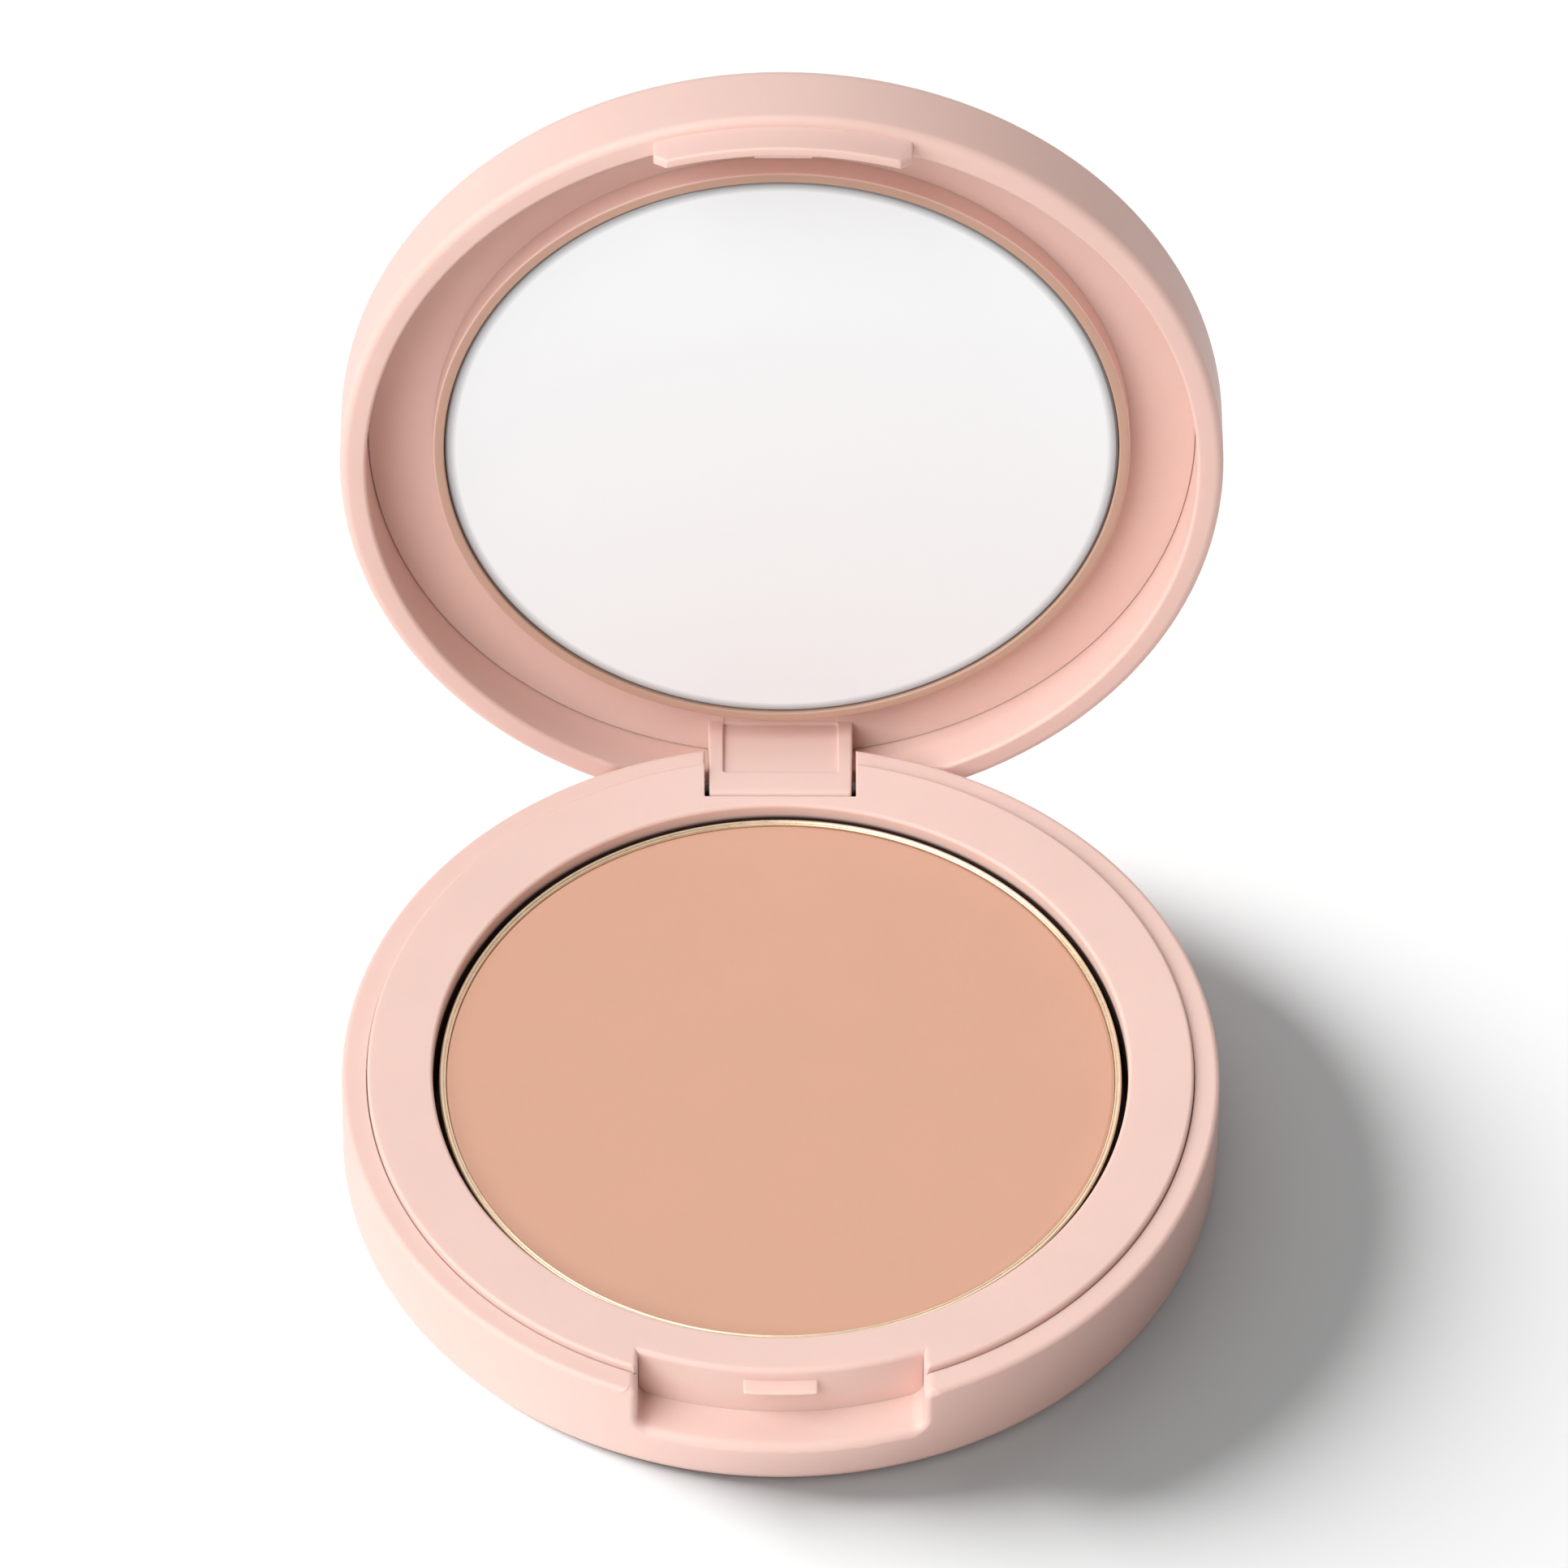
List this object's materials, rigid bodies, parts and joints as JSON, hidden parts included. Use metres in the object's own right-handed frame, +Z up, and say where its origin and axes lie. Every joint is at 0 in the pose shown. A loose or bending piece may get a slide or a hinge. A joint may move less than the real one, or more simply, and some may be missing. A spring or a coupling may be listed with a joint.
{
  "type": "powder compact",
  "caption": "Round pressed-powder compact with a mirror lid on a pin hinge, a sunk metal pan, a thumb recess and a latch tab.",
  "frame": {"origin": "centre of the underside of the base, on the surface it rests on", "axes": "+Z up, -Y towards the thumb recess and the latch, +Y towards the hinge, +X to the right as seen from the front"},
  "size_m": [0.0772, 0.0931, 0.0792],
  "materials": {
    "case_plastic": "soft matte, very fine grain",
    "bezel_plastic": "satin",
    "pan_metal": "satin, champagne",
    "powder": "matte pressed powder",
    "pin_steel": "plain",
    "mirror": "polished",
    "adhesive": "matte",
    "label_paper": "matte"
  },
  "bodies": {
    "base": {"base_shell": "case_plastic", "base_frame": "case_plastic", "powder_pan": "pan_metal", "powder_cake": "powder", "pan_adhesive": "adhesive", "hinge_pin": "pin_steel", "base_label": "label_paper"},
    "lid": {"lid_shell": "case_plastic", "lid_liner": "case_plastic", "mirror_bezel": "bezel_plastic", "mirror_glass": "mirror", "mirror_adhesive": "adhesive"}
  },
  "joints": [
    {"name": "lid_hinge", "type": "hinge", "parent": "base", "child": "lid", "pos_m": [0, 0.0343, 0.00765], "axis": [-1, 0, 0], "range_deg": [-99, 0]}
  ]
}
